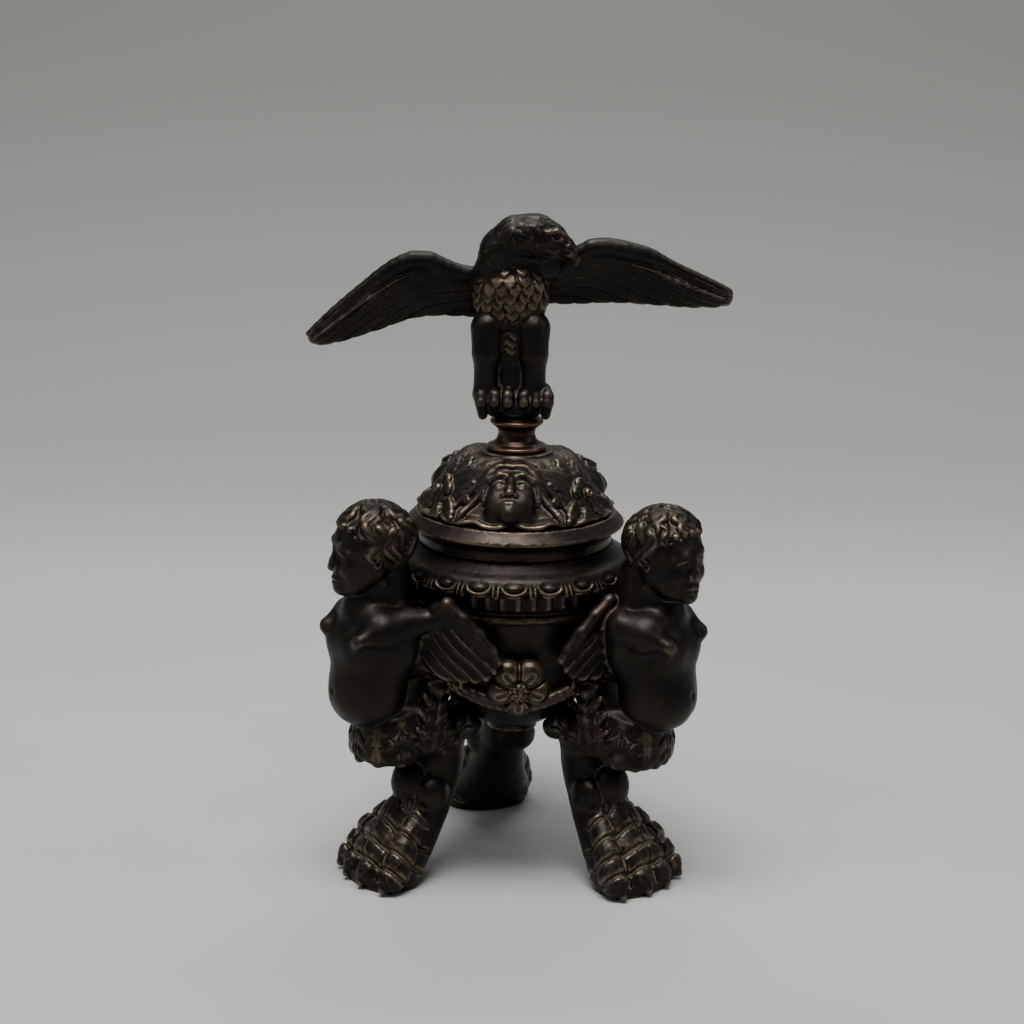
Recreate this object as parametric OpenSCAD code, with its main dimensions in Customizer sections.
// Covered bronze inkwell on three winged figures with lion paws, with an eagle finial.
// Frame: the bowl's axis is Z, the floor is z = 0, and the front swag faces -Y.
// A figure is drawn facing +X and is then turned to its own azimuth.

/* [Bowl] */
// Outer radius of the bowl at its bead
bowl_r = 24.6; // [23.5:0.1:25]
// Height of the widest part of the bowl
bowl_eq_z = 66; // [65.5:0.1:66.5]
// Depth of the bowl below its widest part
bowl_depth = 33; // [32:0.5:34]
// Thickness of the bowl's cast wall
bowl_wall = 2; // [1.6:0.1:2.2]

/* [Rim] */
// Height of the bowl's top edge, where the rim ring sits
rim_z = 71; // [70.5:0.1:71.5]
// Radius of the rim ring at the top of the egg moulding
rim_r = 28.8; // [28:0.1:29]
// Number of eggs in the moulding
egg_count = 21; // [18:1:28]

/* [Lid] */
// Radius of the lid plate
lid_r = 25.7; // [25:0.1:26]
// Height at which the lid rests on the rim ring
lid_seat_z = 78.4; // [78.2:0.1:78.6]
// Radius of the register that drops into the mouth
register_r = 21.3; // [21:0.1:21.4]
// Turn of the mask dome about the axis
dome_turn = -4; // [-60:1:60]
// Number of masks round the dome
mask_count = 3; // [2:1:4]

/* [Figures] */
// Distance from the axis to the middle of a figure's body
body_u = 39.6; // [39.2:0.1:40]
// Height of the middle of a figure's head
head_z = 81.9; // [81.5:0.1:82.5]
// Turn of the head to the figure's right
twist = 10; // [0:1:14]
// Angle from a figure's middle to the tip of its wing
wing_tip_turn = 43.5; // [41:0.5:44]
// Turn of each figure's pair of wings about the bowl
wing_shift = 8; // [0:1:8]

/* [Eagle] */
// Height of the top of the spool, where the eagle stands
eagle_z = 108; // [107.8:0.1:108.4]

/* [Hidden] */

figure_at = [98, 212, 328];   // azimuths of the rear, left and right figures
leg_turns = [8, 0, -9];       // how each figure's leg is turned on its own ankle
swag_at = [273, 33, 159];     // azimuths of the front, right and left swags
gap = 0.05;                   // clearance between castings that are fitted together
rod_r = 1.5;                  // radius of the finial's tie rod
rod_hole_r = 1.65;            // hole for the tie rod
mouth_r = 21.6;               // mouth of the rim ring
ledge_z = 74.4;               // ledge in the mouth that carries the ink glass
ledge_r = 19.2;               // bore below the ledge
plate_top_z = 86;             // top of the lid plate, where the dome sits
dome_top_z = 100.2;           // top of the dome, where the spool sits
peg_z = 68.4;                 // height of the pegs behind the figures' necks
peg_r = 1.3;                  // radius of those pegs
screw_r = 1.2;                // radius of the screws that hold the legs
rivet_r = 0.9;                // radius of the rosette rivets
rosette_z = 50.5;             // height of the middle of a rosette
rosette_tilt = 14;            // how far a rosette looks down
fine = 96;                    // facets of the turned pieces where OpenSCAD draws them

// Outer radius of the bowl at height z below its widest part.
function bowl_r_at(z) = bowl_r * sqrt(max(0, 1 - pow((bowl_eq_z - z) / bowl_depth, 2)));

// One ring of n points: an ellipse of half sizes a and b round [x, y] at height z.
function ellipse_ring(z, x, y, a, b, n, phase = 0) =
    [for (i = [0 : n - 1])
        [x + a * cos(phase + i * 360 / n), y + b * sin(phase + i * 360 / n), z]];

// Closed solid through rings of n points each, given from the lowest to the highest.
module rings_solid(rings) {
    n = len(rings[0]);
    last = len(rings) - 1;
    polyhedron(
        points = [for (ring = rings) each ring],
        faces = concat(
            [[for (i = [0 : n - 1]) i]],
            [for (k = [0 : last - 1], i = [0 : n - 1])
                [k * n + i, (k + 1) * n + i, (k + 1) * n + (i + 1) % n, k * n + (i + 1) % n]],
            [[for (i = [n - 1 : -1 : 0]) last * n + i]]
        ),
        convexity = 6
    );
}

// Solid of stacked horizontal ellipses, each slice being [z, x, a, b] with y = 0.
module slices(list, n = 20, phase = 0) {
    rings_solid([for (s = list) ellipse_ring(s[0], s[1], 0, s[2], s[3], n, phase)]);
}

// Tapered limb through balls, each joint being [x, y, z, r].
module limb(joints, facets = 12) {
    for (i = [0 : len(joints) - 2])
        hull()
            for (j = [joints[i], joints[i + 1]])
                translate([j[0], j[1], j[2]]) sphere(j[3], $fn = facets);
}

// Ellipsoid of half sizes [a, b, c].
module ellipsoid(half, facets = 24) {
    resize(2 * half) sphere(max(half), $fn = facets);
}

// Places children at a height on a radius, looking outward and down by tilt.
module on_bowl(azimuth, radius, z, tilt) {
    rotate([0, 0, azimuth]) translate([radius, 0, z]) rotate([0, 90 + tilt, 0]) children();
}

// ---- bowl and rim ----

module bowl_outline(wall = 0) {
    steps = 14;
    low = bowl_eq_z - bowl_depth + wall;
    concat_pts = [for (i = [0 : steps])
        let (t = 90 * i / steps)
        [(bowl_r - wall) * sin(t), bowl_eq_z - (bowl_depth - wall) * cos(t)]];
    polygon(concat(concat_pts, [[bowl_r - wall, bowl_eq_z + 8], [0, bowl_eq_z + 8]]));
}

// The space the bowl takes up, with a little clearance, for what is fitted against it.
module bowl_space() {
    rotate_extrude($fn = 48)
        intersection() {
            offset(delta = 0.14) bowl_outline();
            square(bowl_eq_z + 20);
        }
}

module bowl() {
    bead_r = bowl_r + 0.8;
    neck_r = 24;
    color("#3a2f29")
    difference() {
        union() {
            rotate_extrude($fn = fine)
                intersection() {
                    difference() {
                        bowl_outline();
                        bowl_outline(bowl_wall);
                    }
                    square([bowl_r + 5, bowl_eq_z]);
                }
            rotate_extrude($fn = fine)
                polygon([
                    [bowl_r - bowl_wall, bowl_eq_z - 1], [bowl_r, bowl_eq_z - 1], [bead_r, bowl_eq_z - 0.4],
                    [bead_r, bowl_eq_z + 0.4], [bowl_r, bowl_eq_z + 1], [neck_r, bowl_eq_z + 1.6],
                    [neck_r, rim_z], [bowl_r - bowl_wall, rim_z]
                ]);
            // flat pad under the bowl, left by the casting gate
            translate([0, 0, bowl_eq_z - bowl_depth - 0.6]) cylinder(r = 6, h = 1.6, $fn = fine);
        }
        for (a = figure_at) {
            rotate([0, 0, a]) translate([20, 0, peg_z]) rotate([0, 90, 0])
                cylinder(r = peg_r + gap, h = 8, $fn = fine);
            leg_screw_at(a) translate([0, 0, -4]) cylinder(r = screw_r + gap, h = 8, $fn = fine);
        }
        for (a = swag_at)
            on_bowl(a, bowl_r_at(rosette_z), rosette_z, rosette_tilt)
                translate([0, 0, -6]) cylinder(r = rivet_r + gap, h = 12, $fn = fine);
    }
}

module rim_ring() {
    egg_z = 74.6;
    egg_r = rim_r - 0.4;
    foot_r = 24.8;
    color("#40352d")
    difference() {
        union() {
            rotate_extrude($fn = fine)
                polygon([
                    [ledge_r, rim_z - 3], [bowl_r - bowl_wall - gap, rim_z - 3], [bowl_r - bowl_wall - gap, rim_z],
                    [foot_r, rim_z], [foot_r + 1, rim_z + 0.5], [rim_r - 1.6, rim_z + 1.2], [rim_r - 0.8, rim_z + 1.6],
                    [rim_r - 0.2, rim_z + 3], [rim_r, rim_z + 5.4], [rim_r - 0.6, rim_z + 5.7],
                    [26.4, rim_z + 6], [24.2, rim_z + 6.7], [23, lid_seat_z], [mouth_r, lid_seat_z],
                    [mouth_r, ledge_z], [ledge_r, ledge_z]
                ]);
            for (i = [0 : egg_count - 1])
                rotate([0, 0, (i + 0.5) * 360 / egg_count]) {
                    translate([egg_r - 0.7, 0, egg_z]) sphere(2.1, $fn = 24);
                    rotate([0, 0, 180 / egg_count]) translate([egg_r - 0.5, 0, egg_z - 1.4])
                        cylinder(r1 = 0.3, r2 = 0.9, h = 2.8, $fn = 16);
                }
        }
        translate([0, 0, rim_z + 5.2]) difference() {
            cylinder(r = rim_r + 4, h = 3, $fn = fine);
            translate([0, 0, -1]) cylinder(r = rim_r - 0.7, h = 5, $fn = fine);
        }
    }
}

// ---- figures ----

// Belly, chest, neck: heights, then middle and half sizes.
torso_slices = [
    [40.6, body_u - 1, 4, 3.4], [42, body_u - 0.5, 7, 6.2], [45, body_u + 0.4, 9, 8], [49, body_u + 0.9, 9.5, 8.6],
    [54, body_u + 0.6, 8.7, 8.2], [58, body_u + 0.2, 8, 8], [62, body_u + 0.3, 7.8, 8.2],
    [65, body_u + 0.2, 7, 7.6], [67.4, body_u - 0.6, 5.4, 5.8], [69.6, body_u - 0.9, 4.4, 4.5], [75.58, body_u, 4.19, 4.2]
];
// Leaf skirt below the belly, opening outward at its hem.
skirt_slices = [
    [29.4, 35.6, 6.6, 8], [31, 35.2, 7.4, 8.2], [36, 33.8, 8.8, 7.4], [40, 33.4, 8.8, 6.9], [43.78, 35, 7, 6.8],
    [47, 35.6, 5.6, 5.8]
];
// Shin and heel: the leg runs in under the bowl and out again to the paw.
leg_slices = [
    [0, 36, 6.6, 10.4], [3, 35, 8.2, 10.6], [7, 32, 8.2, 9.6], [11, 29, 7.8, 8.4], [15, 26, 7.2, 7.2],
    [19, 23.4, 6.4, 6.3], [23, 21.4, 5.9, 5.9], [27, 20.8, 6, 6], [31, 21.8, 7.2, 6.4], [34, 24, 8.6, 6.6],
    [38, 26.5, 8, 6]
];

// Wing band: [turn, radius, low z, high z] from the spine to the tip.
wing_sections = [
    [-3, 33, 53, 64], [8, 32, 53.6, 65.2], [14, 31, 53, 68.6], [19, 30.4, 52.4, 70.2], [24, 29.8, 52, 69],
    [31, 29, 52, 65.6], [38, 28.4, 52.4, 62], [wing_tip_turn - 1.5, 28.1, 55.4, 59.6], [wing_tip_turn, 28, 57, 58.8]
];

// A wing hugging the bowl; side is 1 or -1.
module figure_wing(side) {
    thick = 2;
    ridge_lift = 0.4;  // the two wings' ridges differ by this much, so they cross cleanly at the spine
    rings = [for (s = wing_sections)
        let (a = side * s[0] + wing_shift, inner = s[1] - thick, mid = (s[2] + s[3]) / 2 + side * ridge_lift)
        [for (p = [[inner, s[2]], [s[1], s[2]], [s[1] + 0.5, mid], [s[1], s[3]], [inner, s[3]], [inner, mid]])
            [p[0] * cos(a), p[0] * sin(a), p[1]]]];
    rings_solid(side < 0 ? rings : [for (i = [len(rings) - 1 : -1 : 0]) rings[i]]);
}

// Four toes of a lion's paw, each bent over twice.
module paw() {
    toe_v = [-9.80, -3.30, 3.18, 9.80];
    toe_u = [38.91, 40.61, 40.65, 39.02];
    for (i = [0 : 3])
        limb([
            [30.4, toe_v[i] * 0.5, 15, 3.3], [36.4, toe_v[i] * 0.85, 8.4, 3.5], [toe_u[i], toe_v[i], 3, 3.2]
        ], 10);
}

module figure_head() {
    translate([body_u + 0.6, 0, head_z]) rotate([0, 0, -twist]) {
        translate([-0.6, 0, 1]) ellipsoid([9, 8.6, 9], 20);
        translate([1.8, 0, -1]) ellipsoid([7.8, 7, 9.6], 20);
        translate([9.20, 0, -3]) sphere(1.6, $fn = 12);
        limb([[3, 0, -6.6, 4.4], [5.6, 0, -7.6, 3.2]], 12);
    }
}

// Screw that draws a leg up against the bowl, along the bowl's own normal there.
module leg_screw_at(azimuth) {
    at_r = 16;
    at_z = bowl_eq_z - bowl_depth * sqrt(1 - pow(at_r / bowl_r, 2));
    rotate([0, 0, azimuth]) translate([at_r, 0, at_z]) rotate([0, 134, 0]) children();
}

module figure(azimuth, leg_turn) {
    ankle_u = 24;
    color("#33291f")
    rotate([0, 0, azimuth])
    difference() {
        union() {
            slices(torso_slices, 20, 1.9);
            slices(skirt_slices, 20, 6.4);
            for (side = [-1, 1]) {
                limb([[body_u, side * 4.8, 63.6, 3.6], [body_u + 4.4, side * 7.8, 62.4, 2.9]], 14);
                limb([[30.4, side * 5.4, 41, 3], [28.6, side * 6.2, 48, 1.4]], 10);
                limb([[29.73, side * 2, 58.13, 3.4], [34, side * 3, 60, 3.6]], 12);
                figure_wing(side);
            }
            figure_head();
            // leaf lobe that carries the bowl
            translate([16.6, 0, 35.2]) ellipsoid([6.4, 6.4, 4.2], 20);
            translate([ankle_u, 0, 0]) rotate([0, 0, leg_turn]) translate([-ankle_u, 0, 0]) {
                slices(leg_slices, 18, 7.1);
                intersection() {
                    paw();
                    translate([0, -25, 0]) cube([60, 50, 40]);
                }
                translate([28.4, 0, 22.6]) ellipsoid([4.4, 4.2, 5.4], 16);
                for (side = [-1, 1])
                    translate([25.2, side * 4.4, 21]) sphere(3.9, $fn = 16);
            }
        }
        bowl_space();
        translate([0, 0, bowl_eq_z]) cylinder(r = bowl_r + 1, h = 6, $fn = 48);
        translate([20, 0, peg_z]) rotate([0, 90, 0]) cylinder(r = peg_r + gap, h = 15, $fn = 24);
        leg_screw_at(0) cylinder(r = screw_r + gap, h = 7, $fn = 16);
    }
}

module figure_pegs() {
    color("#b08d4a")
    for (a = figure_at)
        rotate([0, 0, a]) translate([bowl_r - bowl_wall + 0.2, 0, peg_z]) rotate([0, 90, 0])
            cylinder(r = peg_r, h = 12, $fn = fine);
}

module figure_screws() {
    color("#8a6f3e")
    for (a = figure_at)
        leg_screw_at(a) {
            translate([0, 0, -2.4]) cylinder(r = screw_r, h = 8.4, $fn = fine);
            difference() {
                translate([0, 0, -3.9]) cylinder(r = 2.2, h = 1.5, $fn = fine);
                translate([-3, -0.3, -4]) cube([6, 0.6, 0.8]);
            }
        }
}

// ---- swags and rosettes ----

module swag(azimuth) {
    span = 33;
    steps = 6;
    color("#382e26")
    difference() {
        rotate([0, 0, azimuth])
            limb([for (i = [-steps : steps])
                let (t = i / steps, a = t * span, z = 44.6 + 9.4 * t * t, r = bowl_r_at(z) + 1.3 + 0.3 * t * t)
                [r * cos(a), r * sin(a), z, 2.5 - 1.5 * t * t]
            ], 12);
        bowl_space();
        on_bowl(azimuth, bowl_r_at(rosette_z) + 0.9, rosette_z, rosette_tilt) cylinder(r = 5.6, h = 8, $fn = 24);
    }
}

module rosette(azimuth) {
    petals = 5;
    petal_r = 2.7;
    color("#443931")
    difference() {
        on_bowl(azimuth, bowl_r_at(rosette_z) + 1, rosette_z, rosette_tilt) {
            cylinder(r = 5, h = 2.6, $fn = fine);
            for (i = [0 : petals - 1])
                rotate([0, 0, i * 360 / petals + 36]) translate([4.5, 0, 2.2]) sphere(petal_r, $fn = fine);
        }
        on_bowl(azimuth, bowl_r_at(rosette_z), rosette_z, rosette_tilt)
            translate([0, 0, -6]) cylinder(r = rivet_r + gap, h = 20, $fn = fine);
        on_bowl(azimuth, bowl_r_at(rosette_z) + 5.2, rosette_z - 0.9, rosette_tilt)
            translate([0, 0, -1]) cylinder(r = 2.6, h = 4, $fn = fine);
        rotate_extrude($fn = fine) square([bowl_r_at(rosette_z) + 0.1, 100]);
    }
}

module rosette_rivets() {
    color("#4a3d30")
    for (a = swag_at)
        on_bowl(a, bowl_r_at(rosette_z), rosette_z, rosette_tilt)
            translate([0, 0, -2.6]) {
                cylinder(r = rivet_r, h = 8, $fn = fine);
            }
}

// ---- ink glass ----

module ink_glass() {
    wall = 2;
    top_z = ledge_z + 1.6;
    color("#a9c4bd", 0.5)
    rotate_extrude($fn = fine)
        polygon([
            [0, 43], [9, 43], [14.4, 46.4], [18, 54], [18.6, ledge_z], [mouth_r - 0.4, ledge_z],
            [mouth_r - 0.4, top_z], [18.6 - wall, top_z], [18 - wall, 55], [13, 48.4], [8.6, 45.4], [0, 45.4]
        ]);
}

// ---- lid ----

module lid_plate() {
    color("#3d322b")
    rotate_extrude($fn = fine)
        polygon([
            [rod_hole_r, plate_top_z - 2.4], [19.8, plate_top_z - 2.4], [19.8, lid_seat_z - 1.6],
            [register_r, lid_seat_z - 1.6], [register_r, lid_seat_z], [22.8, lid_seat_z],
            [23.4, lid_seat_z + 2], [24.6, lid_seat_z + 3.8], [lid_r - 0.2, lid_seat_z + 4.6],
            [lid_r, lid_seat_z + 5], [lid_r - 0.3, lid_seat_z + 5.4], [24.6, lid_seat_z + 6.4],
            [23.6, plate_top_z - 0.4], [23.4, plate_top_z], [rod_hole_r, plate_top_z]
        ]);
}

// Outer outline of the dome, from its lip to its crown.
dome_outline = [
    [22.6, 86], [23.3, 87], [22.4, 88.3], [19.4, 89.8], [18.2, 92], [17, 94.4], [15, 96.8], [12, 98.6],
    [8.4, 99.6], [7, 100.2]
];

module lid_dome() {
    wall = 2;
    color("#42372d")
    rotate([0, 0, dome_turn])
    difference() {
        union() {
            rotate_extrude($fn = fine) polygon(concat([[0, 86]], dome_outline, [[0, 100.2]]));
            for (i = [0 : mask_count - 1])
                rotate([0, 0, 270 + i * 360 / mask_count]) {
                    // mask: brow, cheeks and chin, leaning back on the dome
                    translate([14.8, 0, 93.8]) sphere(4.4, $fn = 40);
                    translate([16.8, 0, 90.8]) sphere(3.8, $fn = 40);
                    rotate([0, 0, 180 / mask_count]) translate([16.4, 0, 91.4]) sphere(3, $fn = 40);
                }
        }
        rotate_extrude($fn = fine)
            polygon([
                [0, 85], [22.6 - wall, 85], [22.6 - wall, 87.4], [17.2, 88.4], [15.4, 93], [12.4, 95.6], [6, 97.8], [0, 98]
            ]);
        translate([0, 0, 90]) cylinder(r = rod_hole_r, h = 20, $fn = fine);
    }
}

// ---- finial ----

module finial_spool() {
    color("#5a4535")
    rotate_extrude($fn = fine)
        polygon([
            [rod_hole_r, dome_top_z], [6.8, dome_top_z], [7.1, dome_top_z + 0.6], [6.8, dome_top_z + 1.2],
            [5.8, dome_top_z + 1.7], [4.7, dome_top_z + 2.6], [4.3, dome_top_z + 3.8], [4.5, dome_top_z + 5],
            [5.4, dome_top_z + 5.8], [6.1, dome_top_z + 6.2], [6.3, dome_top_z + 6.7], [6.1, dome_top_z + 7.2],
            [5, eagle_z], [rod_hole_r, eagle_z]
        ]);
}

module tie_rod() {
    color("#9a7b45")
    translate([0, 0, 80.4]) cylinder(r = rod_r, h = 36, $fn = fine);
}

module washer() {
    color("#b08d4a")
    translate([0, 0, plate_top_z - 3.2]) difference() {
        cylinder(r = 4.6, h = 0.8, $fn = fine);
        translate([0, 0, -1]) cylinder(r = rod_hole_r, h = 3, $fn = fine);
    }
}

module nut() {
    color("#b08d4a")
    translate([0, 0, plate_top_z - 5.6]) difference() {
        cylinder(r = 3.2, h = 2.4, $fn = 6);
        translate([0, 0, -1]) cylinder(r = rod_r + 0.02, h = 5, $fn = fine);
    }
}

// ---- eagle ----

// Chest and back: [z, x, y, half width, half depth].
eagle_slices = [
    [112, -2.5, 4.6, 3.6, 2.6], [118, -2.5, 4, 5.4, 4], [124, -2.3, 2.8, 7.2, 5.6], [130, -1.9, 1.2, 8.4, 6.8],
    [136, -1.8, 0.2, 8.9, 7.2], [141, -2, -0.4, 8.5, 6.8], [145, -2.8, -1, 7.2, 6.2], [149, -3.3, -1.4, 5.8, 5.6],
    [152, -3.1, -1.6, 3.4, 3.4]
];

module eagle_body() {
    n = 20;
    color("#372d25")
    difference() {
        union() {
            rings_solid([for (s = eagle_slices) ellipse_ring(s[0], s[1], s[2], s[3], s[4], n)]);
            // arched neck and head, looking down to the bird's left
            limb([
                [-3.5, -1.6, 149, 5.4], [0.5, -2.4, 150.6, 5.4], [4.8, -3, 151, 5.1], [8.4, -3.4, 149.4, 4.1],
                [11.4, -3.8, 147.4, 2], [12.6, -4, 145, 0.7]
            ], 16);
            for (side = [-1, 1]) {
                hip = -1.6 + side * 5.6;
                translate([hip, -4.4, 128]) ellipsoid([3.7, 4, 7.6], 18);
                limb([[hip, -4, 122, 2.9], [hip + side * 0.4, -3.2, 113.4, 2.6]], 12);
                for (toe = [-1, 0, 1])
                    limb([
                        [hip + toe * 1.2, -3.6, 112.8, 1.5], [hip + toe * 1.6, -6.2, 111.4, 1.3],
                        [hip + toe * 1.7, -7.2, 109.4, 0.9]
                    ], 10);
            }
            // tail
            limb([[-1.8, 5.4, 126, 4], [-1.8, 8.6, 116, 3], [-1.8, 9.6, 111.4, 1.6]], 14);
            // rock under the claws
            rings_solid([for (s = [[eagle_z, 4.8, 4.8], [109, 6.4, 6], [111, 7.4, 6.4], [113.4, 6.6, 5.4]])
                ellipse_ring(s[0], -0.8, 0, s[1], s[2], n)]);
        }
        cylinder(r = rod_r + 0.02, h = 116.6, $fn = 24);
        for (side = [-1, 1])
            translate([-1.8 + side * 5, 1.6, 137.6]) rotate([0, side * 90, 0]) cylinder(r = 1.6, h = 8, $fn = 20);
    }
}

// Wing outlines: [x, low z, high z, y of the front edge at the top, thickness at the top].
right_wing = [
    [7.4, 132.8, 144, 1, 5], [10.8, 133, 145.2, 0.4, 5], [15.8, 133.4, 149, -0.4, 5.4], [20.2, 133.8, 149.8, -0.8, 5.2],
    [24.8, 133.8, 149.2, -0.8, 4.8], [29.8, 133.6, 147.4, -0.6, 4.4], [37.8, 133.2, 143.6, 0, 3.8], [43.8, 133.2, 140.4, 0.6, 3.2],
    [48.4, 133.6, 137.8, 1.2, 2.6], [50.2, 134.6, 136.2, 1.6, 2]
];
left_wing = [
    [-10.6, 129.7, 142.5, 1, 5], [-14.6, 130.1, 142.5, 0.4, 5], [-18.2, 130.1, 144.5, -0.2, 5.4],
    [-21.8, 130.1, 146.1, -0.6, 5.2], [-26.2, 129.1, 145.3, -0.8, 4.8], [-32.2, 126.7, 141.5, -0.8, 4.4],
    [-38.2, 124.7, 136.7, -0.4, 3.8], [-43.2, 123.1, 131.9, 0.2, 3.2], [-47.2, 122.1, 127.5, 0.8, 2.6], [-49.6, 122.7, 124.7, 1.2, 2]
];

// Cast wing: round along its leading edge at the top, thin at the feather tips below.
module eagle_wing(sections) {
    rings = [for (s = sections)
        let (x = s[0], lo = s[1], hi = s[2], y = s[3], t = s[4], h = hi - lo, thin = 1.4, lean = 3)
        [
            [x, y + t * 0.5, hi], [x, y + t, hi - h * 0.12], [x, y + t * 0.9 + 0.6, hi - h * 0.4],
            [x, y + lean + thin, lo + h * 0.1], [x, y + lean + thin * 0.5, lo], [x, y + lean, lo + h * 0.1],
            [x, y + 1.4, hi - h * 0.4], [x, y, hi - h * 0.12]
        ]];
    color("#2f2720")
    union() {
        rings_solid(sections[0][0] < 0 ? rings : [for (i = [len(rings) - 1 : -1 : 0]) rings[i]]);
        translate([-1.8 + sign(sections[0][0]) * 5.6, 1.6, 137.6]) rotate([0, sign(sections[0][0]) * 90, 0])
            cylinder(r = 1.5, h = 5, $fn = fine);
    }
}

bowl();
rim_ring();
figure(figure_at[0], leg_turns[0]);  // figure_rear
figure(figure_at[1], leg_turns[1]);  // figure_left
figure(figure_at[2], leg_turns[2]);  // figure_right
figure_pegs();
figure_screws();
swag(swag_at[0]);  // swag_front
swag(swag_at[1]);  // swag_right
swag(swag_at[2]);  // swag_left
rosette(swag_at[0]);  // rosette_front
rosette(swag_at[1]);  // rosette_right
rosette(swag_at[2]);  // rosette_left
rosette_rivets();
ink_glass();
lid_plate();
lid_dome();
finial_spool();
eagle_body();
eagle_wing(left_wing);  // eagle_wing_left
eagle_wing(right_wing);  // eagle_wing_right
tie_rod();
washer();
nut();
